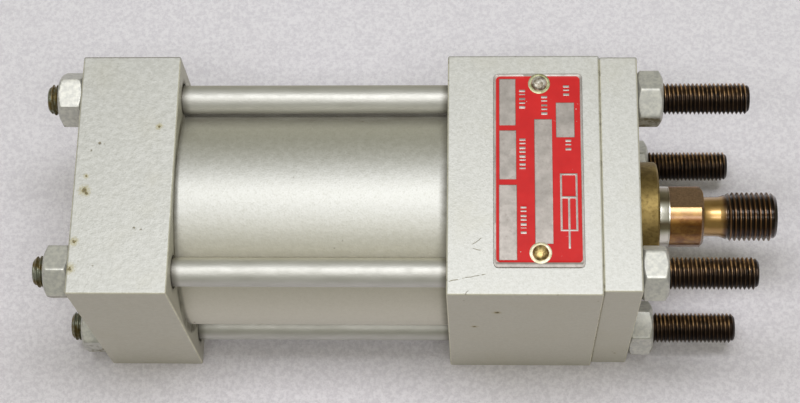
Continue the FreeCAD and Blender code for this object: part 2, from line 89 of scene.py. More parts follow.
# Piston rod: a chrome shank, two wrench flats, a shoulder, a neck and a thread
ROD_RADIUS = 7.9375
ROD_THREAD_PITCH = 1.27
ROD_THREAD_MAJOR = 6.35
ROD_THREAD_ROOT = 5.57
FLAT_HALF = 6.85
FLAT_TURN = 61.0
FLAT_START = 9.6
SHOULDER = 18.4
SHOULDER_CHAMFER = 0.8
NECK_RADIUS = 5.15
NECK_END = 22.3
ROD_TIP_RADIUS = 5.3


def corner_of(node):
    """Lowest and highest corner of a CAD node in millimetres."""
    low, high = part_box(node)
    return low / MM, high / MM


def tube_end_faces():
    """Stations of the cap's and the head's square faces that clamp the tube."""
    return corner_of("rear_cap")[0].x + CAP_LENGTH, corner_of("front_head")[0].x + PILOT_LENGTH


def linear(red, green, blue):
    """A display colour, 0 to 255, as the linear colour that nodes use."""
    shares = [channel / 255 for channel in (red, green, blue)]
    return tuple(s / 12.92 if s < 0.04045 else ((s + 0.055) / 1.055) ** 2.4
                 for s in shares) + (1.0,)


class Shader:
    """Builds one node material. Positions and sizes are in millimetres."""

    def __init__(self, name):
        self.material = bpy.data.materials.new(name)
        self.material.use_nodes = True
        self.tree = self.material.node_tree
        self.surface = self.tree.nodes["Principled BSDF"]
        coordinates = self.tree.nodes.new("ShaderNodeTexCoord")
        self.normal = coordinates.outputs["Normal"]
        self.place = self.vector("MULTIPLY", coordinates.outputs["Object"], (1 / MM,) * 3)
        self.x, self.y, self.z = self.split(self.place)
        self.last_bump = None

    def put(self, socket, value):
        if isinstance(value, bpy.types.NodeSocket):
            self.tree.links.new(value, socket)
        else:
            socket.default_value = value

    def split(self, vector):
        node = self.tree.nodes.new("ShaderNodeSeparateXYZ")
        self.put(node.inputs[0], vector)
        return node.outputs

    def vector(self, operation, *values):
        node = self.tree.nodes.new("ShaderNodeVectorMath")
        node.operation = operation
        for socket, value in zip(node.inputs, values):
            self.put(socket, value)
        return node.outputs["Value" if operation in ("LENGTH", "DOT_PRODUCT") else "Vector"]

    def math(self, operation, *values):
        node = self.tree.nodes.new("ShaderNodeMath")
        node.operation = operation
        for socket, value in zip(node.inputs, values):
            self.put(socket, value)
        return node.outputs[0]

    def product(self, first, *others):
        for other in others:
            first = self.math("MULTIPLY", first, other)
        return first

    def highest(self, first, *others):
        for other in others:
            first = self.math("MAXIMUM", first, other)
        return first

    def step(self, value, low, high):
        """0 at low, 1 at high, smooth between; low may be above high."""
        node = self.tree.nodes.new("ShaderNodeMapRange")
        node.interpolation_type = "SMOOTHSTEP"
        self.put(node.inputs["Value"], value)
        node.inputs["From Min"].default_value = low
        node.inputs["From Max"].default_value = high
        return node.outputs["Result"]

    def between(self, value, low, high, soft):
        """1 from low to high, with soft ends."""
        return self.product(self.step(value, low - soft, low + soft),
                            self.step(value, high + soft, high - soft))

    def sized(self, size, stretch, shift):
        """Texture coordinates for a pattern of the given size; shift picks another part."""
        scale = tuple(part / size for part in stretch)
        return self.vector("MULTIPLY_ADD", self.place, scale, (shift, shift * 0.7, shift * 1.3))

    def noise(self, size, detail=3.0, roughness=0.5, stretch=(1, 1, 1), shift=0.0, warp=0.0):
        node = self.tree.nodes.new("ShaderNodeTexNoise")
        self.put(node.inputs["Vector"], self.sized(size, stretch, shift))
        node.inputs["Scale"].default_value = 1.0
        node.inputs["Detail"].default_value = detail
        node.inputs["Roughness"].default_value = roughness
        node.inputs["Distortion"].default_value = warp
        return node.outputs["Fac"]

    def cells(self, size, stretch=(1, 1, 1), shift=0.0):
        """Distance to the nearest of scattered points, about 0 to 1."""
        node = self.tree.nodes.new("ShaderNodeTexVoronoi")
        self.put(node.inputs["Vector"], self.sized(size, stretch, shift))
        node.inputs["Scale"].default_value = 1.0
        return node.outputs["Distance"]

    def mix(self, share, first, second):
        node = self.tree.nodes.new("ShaderNodeMix")
        node.data_type = "RGBA"
        self.put(node.inputs[0], share)
        self.put(node.inputs[6], first)
        self.put(node.inputs[7], second)
        return node.outputs[2]

    def level(self, share, low, high):
        """A number that runs from low to high as share goes from 0 to 1."""
        return self.math("MULTIPLY_ADD", share, high - low, low)

    def bump(self, height, depth):
        """Adds relief: height 0 to 1 becomes depth millimetres."""
        node = self.tree.nodes.new("ShaderNodeBump")
        node.inputs["Strength"].default_value = 1.0
        node.inputs["Distance"].default_value = depth * MM
        self.put(node.inputs["Height"], height)
        if self.last_bump is not None:
            self.put(node.inputs["Normal"], self.last_bump)
        self.last_bump = node.outputs["Normal"]

    def rounded_edges(self):
        """1 on the rounded edges of a block, 0 on its flat faces."""
        turned = self.vector("ABSOLUTE", self.normal)
        parts = self.split(turned)
        return self.step(self.highest(parts[0], parts[1], parts[2]), 0.995, 0.86)

    def hypotenuse(self, first, second):
        squares = self.math("ADD", self.product(first, first), self.product(second, second))
        return self.math("SQRT", squares)

    def axis_distance(self):
        """Distance from the cylinder's axis."""
        return self.hypotenuse(self.y, self.z)

    def tie_distance(self):
        """Distance from the nearest tie rod's axis."""
        across = self.math("SUBTRACT", self.math("ABSOLUTE", self.y), TIE_HALF_SPACING)
        up = self.math("SUBTRACT", self.math("ABSOLUTE", self.z), TIE_HALF_SPACING)
        return self.hypotenuse(across, up)

    def beside_tie(self):
        """How far a point lies towards +Y from the nearest tie rod's axis."""
        centre = self.product(self.math("SIGN", self.y), TIE_HALF_SPACING)
        return self.math("SUBTRACT", self.y, centre)

    def station(self, x, half, soft):
        """1 within half of x along the axis."""
        return self.between(self.x, x - half, x + half, soft)

    def nut_seat(self):
        """1 in a ring round each tie rod, under the rim of its nut."""
        return self.between(self.tie_distance(), 5.0, 7.3, 0.5)

    def tube_contact(self, face, foot, reach):
        """1 on the square face at x = face, close round the tie rods and in the ring from radius
        foot to radius reach round the tube."""
        ring = self.between(self.axis_distance(), foot, reach, 0.5)
        ties = self.step(self.tie_distance(), TIE_SHANK + 2.2, TIE_SHANK + 0.1)
        return self.product(self.highest(ring, ties), self.station(face, 0.15, 0.1))

    def spots(self, places, grow=1.0, ragged=1.6, soft=0.3):
        """Ragged spots round the given points, which are (x, y, z, radius)."""
        edge = self.level(self.noise(0.45, 3, 0.6, shift=2.0), -ragged, ragged)
        found = []
        for x, y, z, radius in places:
            away = self.vector("LENGTH", self.vector("SUBTRACT", self.place, (x, y, z)))
            away = self.math("ADD", self.math("DIVIDE", away, radius * grow), edge)
            found.append(self.step(away, 1.0 + soft, 1.0 - soft))
        return self.highest(*found)

    def scratches(self, lines, width):
        """Thin lines on the top face, each (x1, y1, x2, y2)."""
        wander = self.level(self.noise(3.0, 2, 0.5, shift=40.0), -0.35, 0.35)
        broken = self.step(self.noise(1.6, 3, 0.6, shift=44.0), 0.36, 0.46)
        found = []
        for x1, y1, x2, y2 in lines:
            length = math.hypot(x2 - x1, y2 - y1)
            along = ((x2 - x1) / length, (y2 - y1) / length, 0.0)
            aside = (-along[1], along[0], 0.0)
            offset = self.vector("SUBTRACT", self.place, (x1, y1, 0.0))
            run = self.vector("DOT_PRODUCT", offset, along)
            away = self.math("ADD", self.vector("DOT_PRODUCT", offset, aside), wander)
            found.append(self.product(
                self.step(self.math("ABSOLUTE", away), width, width * 0.4),
                self.between(run, 0.0, length, 0.4), broken))
        on_top = self.step(self.z, BLOCK_HALF - 0.75, BLOCK_HALF - 0.25)
        return self.product(self.highest(*found), on_top)

    def finish(self, colour, roughness, metallic, coat=0.0):
        inputs = self.surface.inputs
        self.put(inputs["Base Color"], colour)
        self.put(inputs["Roughness"], roughness)
        self.put(inputs["Metallic"], metallic)
        inputs["Coat Weight"].default_value = coat
        inputs["Coat Roughness"].default_value = 0.2
        if self.last_bump is not None:
            self.put(inputs["Normal"], self.last_bump)
        return self.material


# ---- paint -----------------------------------------------------------------------------------

PAINT = linear(206, 206, 203)
PAINT_DARK = linear(193, 193, 189)
PAINT_GRAIN = linear(176, 175, 168)
PAINT_CLOUD = linear(190, 187, 172)
# Painted shade: an olive tint for the upright sides, standing in for their shade.
SIDE_SHADE_TINT = linear(202, 196, 172)
# Painted highlight: a pale tint for the rounded edges.
EDGE_HIGHLIGHT_TINT = linear(240, 236, 214)
# Soiling and painted shade: the dark brown for the joints round the tube, tie rods, nuts and
# gland.
GRIME_AND_CORNER_SHADE = linear(70, 62, 44)
YELLOW_STAIN = linear(168, 156, 96)
CHIP_LIGHT = linear(132, 116, 60)
CHIP_DARK = linear(84, 70, 38)
BARE = linear(96, 84, 60)


def weathered_paint(shader, grime_and_corner_shade, chips, halo, darkening, mottle_size, mottle_depth, roughness):
    """Silver paint with mottling, wear on the edges, yellow stains and chips down to metal. It
    also paints light: an olive shade tint on the upright sides, a painted highlight on the rounded
    edges except the far ones, and soiling mixed with painted shade where the tube, tie rods, nuts
    and gland meet the faces.
    The soiling-and-shade, chips, halo and edge masks run from 0 to 1; the edge mask is wear, and
    on the cap also a painted shade line along the far and rear edges."""
    mottle = shader.noise(mottle_size, 3, 0.55, shift=3.0)
    grain = shader.noise(0.4, 2, 0.5, shift=13.0)
    cloud = shader.noise(14.0, 3, 0.55, shift=9.0)
    colour = shader.mix(shader.step(mottle, 0.3, 0.7), PAINT_DARK, PAINT)
    colour = shader.mix(shader.product(shader.step(grain, 0.52, 0.7), 0.35), colour,
                        PAINT_GRAIN)
    colour = shader.mix(shader.product(shader.step(cloud, 0.45, 0.75), 0.25), colour,
                        PAINT_CLOUD)
    # Painted shade: the upright sides take the olive tint in place of real shade.
    upright = shader.step(shader.math("ABSOLUTE", shader.split(shader.normal)[2]), 0.6, 0.2)
    colour = shader.mix(shader.product(upright, 0.5), colour, SIDE_SHADE_TINT)
    # Painted highlight: every rounded edge except those along the far side is lightened.
    all_but_far = shader.step(shader.y, BLOCK_HALF - 0.75, BLOCK_HALF - 1.35)
    painted_edge_highlight = shader.product(shader.rounded_edges(), all_but_far)
    colour = shader.mix(shader.product(painted_edge_highlight, 0.7), colour, EDGE_HIGHLIGHT_TINT)
    # The edge mask is wear, and on the cap also painted shade along its far and rear edges.
    darkening = shader.product(shader.rounded_edges(), darkening)
    # Soiling mixed with painted shade in the joints where the tube, tie rods, nuts and gland meet
    # the faces.
    colour = shader.mix(shader.product(grime_and_corner_shade, 0.8), colour, GRIME_AND_CORNER_SHADE)
    colour = shader.mix(shader.product(halo, 0.55), colour, YELLOW_STAIN)
    colour = shader.mix(darkening, colour, BARE)
    chip_tone = shader.mix(shader.step(shader.noise(0.6, 3, 0.6), 0.4, 0.6), CHIP_LIGHT,
                           CHIP_DARK)
    colour = shader.mix(chips, colour, chip_tone)
    bare = shader.highest(darkening, chips)
    shader.bump(mottle, mottle_depth)
    shader.bump(grain, 0.02)
    shader.bump(shader.math("SUBTRACT", 1.0, bare), 0.03)
    rough = shader.math("ADD", shader.level(mottle, roughness - 0.05, roughness + 0.05),
                        shader.product(shader.highest(bare, grime_and_corner_shade), 0.2))
    metallic = shader.level(shader.highest(bare, grime_and_corner_shade), 0.5, 0.15)
    return shader.finish(colour, rough, metallic)


def specks(shader, size, rarity, shift):
    """Small scattered dark specks; a larger rarity leaves fewer."""
    dots = shader.step(shader.cells(size, shift=shift), 0.16, 0.09)
    return shader.product(dots, shader.step(shader.noise(size * 2.5, 2, 0.5, shift=shift),
                                            rarity, rarity + 0.05))


def make_cap_paint():
    shader = Shader("cap_paint_look")
    low, high = corner_of("rear_cap")
    cap_face, _ = tube_end_faces()
    stain = shader.step(shader.noise(5.0, 4, 0.6, shift=31.0), 0.35, 0.65)
    # Soiling with painted shade: rings round the tube and the tie rods on the front face, and
    # round the rear nuts on the rear face.
    grime_and_corner_shade = shader.highest(
        shader.product(shader.tube_contact(cap_face, 28.4, 30.8), shader.level(stain, 0.45, 1.0)),
        shader.product(shader.station(low.x, 0.1, 0.05), 0.8, shader.nut_seat()))
    marks = [(x, y, BLOCK_HALF, radius)
             for x, y, radius in ((-137.8, -4.8, 0.75), (-137.2, -5.5, 0.5),
                                  (-139.3, -18.3, 0.6), (-139.9, -25.3, 0.7),
                                  (-120.1, 12.4, 0.45), (-137.6, -1.0, 0.35))]
    chips = shader.highest(shader.product(shader.spots(marks, 0.75), 0.75),
                           shader.product(specks(shader, 3.0, 0.62, 5.0), 0.7))
    halo = shader.spots(marks, 1.7, 1.2, 0.6)
    edge_noise = shader.step(shader.noise(2.2, 5, 0.65, shift=21.0), 0.42, 0.60)
    # Painted shade: a dark line along the far rounded edge and a broken one along the rear rounded
    # edge, where the fillets face away from the lamps; the faint noise on all edges is wear.
    far_edge_shade = shader.product(shader.step(shader.y, high.y - 0.5, high.y - 0.2), 0.75)
    rear_edge_shade = shader.product(shader.step(shader.x, low.x + 0.5, low.x + 0.2),
                               shader.product(edge_noise, 0.35))
    darkening = shader.highest(far_edge_shade, rear_edge_shade, shader.product(edge_noise, 0.15))
    return weathered_paint(shader, grime_and_corner_shade, chips, halo, darkening, 1.3, 0.055, 0.50)


def make_head_paint():
    """Paint of the front head and of the retainer plate on it."""
    shader = Shader("head_paint_look")
    plate_low, plate_high = corner_of("retainer_plate")
    _, head_face = tube_end_faces()
    stain = shader.step(shader.noise(4.0, 4, 0.6, shift=32.0), 0.35, 0.65)
    nut_seat = shader.nut_seat()
    gland_seat = shader.between(shader.axis_distance(), 14.0, 16.3, 0.6)
    plate_front = shader.station(plate_high.x, 0.1, 0.05)
    seam = shader.station(plate_low.x, 0.12, 0.08)
    # Soiling with painted shade: rings round the tube and tie rods on the rear face, and round the
    # nuts and the gland on the plate's front; the seam between head and plate is a dark joint.
    grime_and_corner_shade = shader.highest(
        shader.product(shader.tube_contact(head_face, 28.4, 30.6), shader.level(stain, 0.3, 0.8)),
        shader.product(plate_front, shader.highest(nut_seat, gland_seat),
                       shader.level(stain, 0.35, 0.85)),
        shader.product(seam, 0.35))
    marks = [(-40.9, -BLOCK_HALF, 5.1, 0.4), (-35.2, -BLOCK_HALF, 17.3, 0.5)]
    lines = shader.scratches([(-41.3, -18.9, -39.0, -17.2), (-41.1, -19.9, -39.3, -20.3),
                              (-46.9, -28.2, -38.1, -26.6), (-43.0, -31.5, -42.3, -30.7)], 0.13)
    chips = shader.highest(
        shader.product(lines, 0.6),
        shader.product(specks(shader, 2.8, 0.66, 15.0), 0.7), shader.spots(marks))
    halo = shader.spots(marks, 2.0, 1.2, 0.6)
    edge_noise = shader.step(shader.noise(2.2, 5, 0.65, shift=22.0), 0.54, 0.66)
    return weathered_paint(shader, grime_and_corner_shade, chips, halo, shader.product(edge_noise, 0.5), 0.8,
                           0.02, 0.48)


def make_tube_paint():
    shader = Shader("tube_paint_look")
    cap_face, head_face = tube_end_faces()
    streak = shader.noise(2.4, 3, 0.55, stretch=(0.25, 1, 1), shift=2.0)
    angle = shader.math("ARCTAN2", shader.y, shader.z)
    # Painted shadow: a streaky dark stripe on the far side of the tube, under the far top tie rod.
    tie_rod_shadow_band = shader.between(angle, 0.62, 1.15, 0.10)
    # Darker towards both ends, where the tube meets the cap and the head.
    ends = shader.highest(shader.step(shader.x, head_face - 2.4, head_face - 0.1),
                          shader.step(shader.x, cap_face + 1.1, cap_face + 0.2))
    # The dark mask: the painted shadow stripe and the darker ends, broken by streaks.
    rod_shadow_and_dark_ends = shader.highest(shader.product(tie_rod_shadow_band, shader.level(streak, 0.35, 1.0)),
                          shader.product(ends, shader.level(streak, 0.3, 0.9)))
    mottle = shader.noise(1.3, 3, 0.55, shift=6.0)
    grain = shader.noise(0.45, 2, 0.5, shift=16.0)
    colour = shader.mix(shader.step(mottle, 0.3, 0.7), linear(200, 200, 196),
                        linear(210, 210, 207))
    colour = shader.mix(shader.product(shader.step(grain, 0.5, 0.7), 0.4), colour,
                        linear(180, 179, 172))
    # Painted shade: an olive tint on the far upper side of the tube.
    olive = shader.product(shader.step(angle, 0.0, 0.55), 0.4)
    colour = shader.mix(olive, colour, linear(192, 187, 158))
    # Painted light: the near side of the tube is lightened.
    colour = shader.mix(shader.product(shader.step(angle, -0.25, -0.8), 0.6), colour,
                        linear(228, 223, 204))
    colour = shader.mix(shader.product(rod_shadow_and_dark_ends, 0.8), colour, linear(78, 70, 50))
    dots = specks(shader, 3.4, 0.66, 25.0)
    colour = shader.mix(dots, colour, BARE)
    shader.bump(mottle, 0.03)
    shader.bump(grain, 0.02)
    rough = shader.math("ADD", shader.level(mottle, 0.50, 0.58), shader.product(rod_shadow_and_dark_ends, 0.2))
    return shader.finish(colour, rough, shader.level(rod_shadow_and_dark_ends, 0.72, 0.3))


def make_nut_paint():
    shader = Shader("nut_paint_look")
    mottle = shader.noise(1.2, 3, 0.6, shift=8.0)
    stain = shader.noise(3.2, 5, 0.62, shift=12.0)
    # Olive patches from noise, made more likely on the side and downward facets.
    low_side = shader.step(shader.split(shader.normal)[2], 0.6, -0.3)
    olive_patches = shader.step(shader.math("ADD", stain, shader.product(low_side, 0.22)), 0.64, 0.78)
    colour = shader.mix(shader.step(mottle, 0.3, 0.7), PAINT_DARK, linear(218, 217, 210))
    olive = shader.mix(shader.noise(0.9, 4, 0.6), linear(92, 80, 44), linear(126, 112, 72))
    colour = shader.mix(shader.product(olive_patches, 0.8), colour, olive)
    seat = shader.step(shader.tie_distance(), 4.7, 4.0)
    colour = shader.mix(shader.product(seat, 0.8), colour, linear(52, 42, 26))
    shader.bump(mottle, 0.012)
    rough = shader.level(olive_patches, 0.46, 0.58)
    return shader.finish(colour, rough, shader.level(olive_patches, 0.5, 0.25))


def make_tie_rod_steel():
    """Painted between the blocks, oily and dark outside them."""
    shader = Shader("tie_rod_look")
    cap_low, _ = corner_of("rear_cap")
    cap_face, head_face = tube_end_faces()
    painted = shader.between(shader.x, cap_face, head_face, 0.4)
    streak = shader.noise(2.0, 3, 0.55, stretch=(0.2, 1, 1), shift=7.0)
    # Darker where the rods meet the cap and the head, broken by streaks.
    dark_rod_ends = shader.highest(shader.step(shader.x, head_face - 2.2, head_face - 0.2),
                           shader.step(shader.x, cap_face + 2.4, cap_face + 0.3))
    dark_rod_ends = shader.product(dark_rod_ends, shader.level(streak, 0.2, 1.0))
    paint = shader.mix(shader.step(streak, 0.3, 0.7), linear(202, 201, 196),
                       linear(212, 211, 207))
    # Painted shade: an olive tint on the far side of the painted shank.
    far_side_shade_tint = shader.step(shader.split(shader.normal)[1], 0.2, 0.9)
    paint = shader.mix(shader.product(far_side_shade_tint, 0.6), paint, linear(170, 164, 134))
    paint = shader.mix(shader.product(dark_rod_ends, 0.85), paint, linear(84, 76, 56))
    crest = shader.step(shader.tie_distance(), 3.62, 3.94)
    stain = shader.noise(2.6, 4, 0.6, shift=17.0)
    dark = shader.mix(shader.step(stain, 0.35, 0.65), linear(34, 27, 23), linear(78, 57, 38))
    rub = shader.step(shader.noise(1.5, 4, 0.65, shift=27.0), 0.42, 0.60)
    # Painted highlight: bright glints on the crests along the far half of each thread.
    painted_glint = shader.product(crest, rub, shader.step(shader.beside_tie(), -1.4, 0.6))
    dark = shader.mix(shader.product(crest, shader.level(rub, 0.35, 0.9)), dark,
                      linear(172, 138, 102))
    dark = shader.mix(shader.product(painted_glint, 0.8), dark, linear(226, 180, 122))
    # Painted shade: the near half of each thread is darkened.
    dark = shader.mix(shader.product(shader.step(shader.beside_tie(), 0.2, -2.0), 0.72), dark,
                      linear(22, 17, 18))
    rear = shader.step(shader.x, cap_low.x + 1.0, cap_low.x - 1.0)
    dark = shader.mix(shader.product(rear, 0.85), dark,
                      shader.mix(shader.step(stain, 0.4, 0.6), linear(150, 154, 138),
                                 linear(118, 104, 62)))
    colour = shader.mix(painted, dark, paint)
    debris = shader.noise(0.5, 3, 0.6, shift=33.0)
    shader.bump(debris, 0.05)
    rough = shader.math("ADD", shader.level(painted, 0.32, 0.50),
                        shader.product(shader.step(stain, 0.4, 0.7), 0.06))
    return shader.finish(colour, rough, shader.level(painted, 0.6, 0.65))


def make_gland_bronze():
    shader = Shader("gland_bronze_look")
    stain = shader.noise(4.0, 5, 0.62, shift=3.0, warp=0.6)
    fine = shader.noise(0.9, 4, 0.6, shift=5.0)
    colour = shader.mix(shader.step(stain, 0.3, 0.7), linear(122, 102, 58),
                        linear(166, 144, 90))
    colour = shader.mix(shader.product(shader.step(fine, 0.5, 0.7), 0.4), colour,
                        linear(70, 54, 30))
    inner = shader.step(shader.axis_distance(), 13.0, 11.4)
    colour = shader.mix(shader.product(inner, 0.5), colour, linear(60, 44, 24))
    turning = shader.cells(0.35, stretch=(1, 0.02, 0.02))
    shader.bump(turning, 0.01)
    shader.bump(fine, 0.02)
    return shader.finish(colour, shader.level(fine, 0.46, 0.6), 0.85)


def make_rod_chrome():
    """Chrome behind the wrench flats; brown flats, golden round parts and a dark thread."""
    shader = Shader("rod_look")
    stain = shader.noise(3.0, 4, 0.6, shift=2.0)
    streak = shader.noise(1.2, 3, 0.55, stretch=(0.25, 1, 1), shift=4.0)
    grain = shader.noise(0.5, 4, 0.62, shift=6.0)
    gold = shader.mix(shader.step(stain, 0.35, 0.65), linear(128, 80, 28),
                      linear(168, 122, 56))
    gold = shader.mix(shader.product(shader.step(streak, 0.5, 0.68), 0.45), gold,
                      linear(92, 56, 24))
    angle = shader.math("ARCTAN2", shader.y, shader.z)
    # Painted highlight: a pale stripe along the top of the round parts, where the lamps' highlight
    # sits.
    gold = shader.mix(shader.product(shader.between(angle, -0.34, 0.16, 0.14), 0.3), gold,
                      linear(206, 180, 132))
    away = shader.axis_distance()
    milled = shader.product(shader.between(shader.x, FLAT_START, SHOULDER - 0.1, 0.08),
                            shader.step(away, 7.86, 7.76))
    brown = shader.mix(shader.step(grain, 0.35, 0.65), linear(104, 78, 50), linear(128, 98, 66))
    threaded = shader.step(shader.x, NECK_END + 0.5, NECK_END + 2.7)
    dark = shader.mix(shader.step(away, 5.8, 6.3), linear(40, 28, 20), linear(146, 108, 70))
    dark = shader.mix(shader.product(shader.step(stain, 0.5, 0.66), 0.5), dark,
                      linear(66, 38, 22))
    neck = shader.between(shader.x, SHOULDER + 0.1, NECK_END + 1.3, 0.5)
    colour = shader.mix(milled, gold, brown)
    colour = shader.mix(shader.product(neck, 0.7), colour, linear(196, 158, 92))
    colour = shader.mix(threaded, colour, dark)
    plated = shader.step(shader.x, FLAT_START, FLAT_START - 0.15)
    # Painted reflection: olive-brown stripes on the chrome ring, above and below where its
    # highlight sits, stand in for the dark surroundings it mirrors.
    reflection_bands = shader.highest(shader.between(angle, 0.10, 0.95, 0.12),
                             shader.between(angle, -0.84, -0.50, 0.10))
    reflection_bands = shader.product(reflection_bands, shader.step(shader.x, FLAT_START - 3.6, FLAT_START - 2.8))
    chrome = shader.mix(shader.product(reflection_bands, 0.85), linear(240, 237, 226),
                        linear(124, 106, 62))
    colour = shader.mix(plated, colour, chrome)
    shader.bump(streak, 0.008)
    shader.bump(grain, 0.015)
    rough = shader.math("ADD", shader.level(plated, 0.34, 0.32), shader.product(milled, 0.28))
    metallic = shader.math("SUBTRACT", 0.88, shader.product(milled, 0.45))
    return shader.finish(colour, rough, metallic, coat=1.0)


def make_label_silver():
    shader = Shader("label_silver_look")
    cloud = shader.noise(2.6, 5, 0.62, shift=4.0)
    fine = shader.noise(0.7, 4, 0.6, shift=8.0)
    colour = shader.mix(shader.step(cloud, 0.25, 0.75), linear(148, 142, 137),
                        linear(174, 167, 162))
    darkening = shader.step(shader.noise(9.0, 2, 0.5, shift=6.0), 0.5, 0.7)
    colour = shader.mix(shader.product(darkening, 0.35), colour, linear(118, 114, 110))
    colour = shader.mix(shader.product(shader.step(fine, 0.56, 0.72), 0.3), colour,
                        linear(116, 100, 96))
    shader.bump(cloud, 0.01)
    shader.bump(fine, 0.01)
    return shader.finish(colour, shader.level(fine, 0.34, 0.48), 0.6)


def make_label_red():
    """Red enamel, which ends at the rounded corners of its field."""
    shader = Shader("label_red_look")
    cloud = shader.noise(6.0, 4, 0.6, shift=14.0)
    fine = shader.noise(0.8, 3, 0.6, shift=18.0)
    colour = shader.mix(shader.step(cloud, 0.3, 0.7), linear(206, 18, 20), linear(218, 26, 26))
    chips = shader.product(shader.step(fine, 0.70, 0.74),
                           shader.step(shader.noise(5.0, 2, 0.5, shift=3.0), 0.5, 0.6))
    low, high = corner_of("nameplate")
    rear, front, far, near = FIELD_MARGIN
    corner = 1.1
    over = []
    for place, start, end in ((shader.x, low.x + rear, high.x - front),
                              (shader.y, low.y + near, high.y - far)):
        away = shader.math("ABSOLUTE", shader.math("SUBTRACT", place, (start + end) / 2))
        past = shader.math("SUBTRACT", away, (end - start) / 2 - corner)
        over.append(shader.highest(past, 0.0))
    outside = shader.step(shader.hypotenuse(*over), corner - 0.08, corner + 0.08)
    colour = shader.mix(shader.highest(chips, outside), colour, linear(206, 190, 184))
    shader.bump(cloud, 0.03)
    shader.bump(fine, 0.006)
    shader.surface.inputs["Specular IOR Level"].default_value = 0.3
    return shader.finish(colour, shader.level(fine, 0.46, 0.58), 0.0)


def make_screw_metal(name, bright, dull):
    shader = Shader(name)
    stain = shader.noise(1.4, 4, 0.6, shift=3.0)
    colour = shader.mix(shader.step(stain, 0.4, 0.6), dull, bright)
    shader.bump(shader.noise(0.5, 4, 0.6), 0.04)
    return shader.finish(colour, shader.level(stain, 0.5, 0.38), 0.6)


def make_rubber():
    shader = Shader("seal_rubber_look")
    dust = shader.noise(1.5, 4, 0.6, shift=3.0)
    colour = shader.mix(shader.step(dust, 0.45, 0.7), linear(24, 24, 25), linear(52, 49, 44))
    shader.bump(shader.noise(0.25, 3, 0.6), 0.01)
    return shader.finish(colour, shader.level(dust, 0.5, 0.7), 0.0)


def make_wear_plastic():
    shader = Shader("wear_plastic_look")
    cloud = shader.noise(3.0, 4, 0.6)
    colour = shader.mix(cloud, linear(176, 158, 118), linear(198, 182, 146))
    shader.bump(shader.noise(0.4, 3, 0.5), 0.01)
    return shader.finish(colour, shader.level(cloud, 0.4, 0.55), 0.0)


def make_bare_metal(name, light, dark, grain_depth, roughness):
    """Turned iron or steel: fine rings about the axis and a light film of oil."""
    shader = Shader(name)
    film = shader.noise(5.0, 4, 0.6, shift=5.0)
    rings = shader.noise(0.3, 2, 0.5, stretch=(1, 0.05, 0.05), shift=2.0)
    colour = shader.mix(shader.step(film, 0.35, 0.65), dark, light)
    shader.bump(rings, grain_depth)
    return shader.finish(colour, shader.level(film, roughness - 0.06, roughness + 0.08), 0.9)


def make_floor_look():
    """Pale sheet, with painted light: a little lighter towards the far side."""
    shader = Shader("floor_look")
    speck = shader.noise(1.0, 4, 0.62, shift=1.0)
    cloud = shader.noise(60.0, 3, 0.5, shift=5.0)
    near = shader.mix(shader.step(speck, 0.34, 0.66), linear(214, 209, 216),
                      linear(236, 231, 238))
    far = shader.mix(shader.step(speck, 0.34, 0.66), linear(231, 228, 238),
                     linear(248, 246, 254))
    colour = shader.mix(shader.step(shader.y, -160.0, 120.0), near, far)
    colour = shader.mix(shader.product(cloud, 0.12), colour, linear(200, 196, 190))
    shader.bump(speck, 0.3)
    return shader.finish(colour, 0.9, 0.0)


# ---- meshes ----------------------------------------------------------------------------------

# One pitch of a thread: (share of the pitch, share of the height), with rounded root and crest
THREAD_FORM = ((0.00, 0.88), (0.04, 1.00), (0.14, 1.00), (0.18, 0.88),
               (0.47, 0.10), (0.53, 0.00), (0.62, 0.00), (0.69, 0.10))


class Skin:
    """Collects points and faces in millimetres round an axis along X."""

    def __init__(self, segments=48, extra_angles=()):
        steps = [math.tau * count / segments for count in range(segments)]
        self.angles = sorted(steps + [angle % math.tau for angle in extra_angles])
        self.points = []
        self.faces = []

    def rows(self, rows, lead=0):
        """Joins rows of points by quads. Each row closes on the row that is lead later."""
        start = len(self.points)
        width = len(self.angles)
        for row in rows:
            self.points.extend(row)
        for i in range(len(rows) - 1):
            for j in range(width):
                i_next, j_next = (i, j + 1) if j + 1 < width else (i + lead, 0)
                if i_next + 1 < len(rows):
                    corners = ((i, j), (i_next, j_next), (i_next + 1, j_next), (i + 1, j))
                    self.faces.append([start + a * width + b for a, b in corners])

    def turned(self, profile, shape=None):
        """Turns a profile of (x, radius); shape(x, radius, angle) may cut the radius."""
        shape = shape or (lambda x, radius, angle: radius)
        self.rows([[self.point(x, shape(x, radius, angle), angle) for angle in self.angles]
                   for x, radius in profile])

    def helix(self, start, end, pitch, radius):
        """A right-handed thread; radius(x, height) is its surface, and height goes from 0 to 1
        across each ridge of THREAD_FORM."""
        rows = []
        for turn in range(-1, int((end - start) / pitch) + 2):
            for share, height in THREAD_FORM:
                row = []
                for angle in self.angles:
                    x = start + pitch * (turn + share + angle / math.tau)
                    x = min(max(x, start), end)
                    row.append(self.point(x, radius(x, height), angle))
                rows.append(row)
        self.rows(rows, lead=len(THREAD_FORM))

    def thread(self, start, end, pitch, root, major, limit):
        """A male thread; limit(x) is the largest radius at x."""
        self.helix(start, end, pitch,
                   lambda x, height: min(root + height * (major - root), limit(x)))

    @staticmethod
    def point(x, radius, angle):
        return (x, radius * math.cos(angle), radius * math.sin(angle))


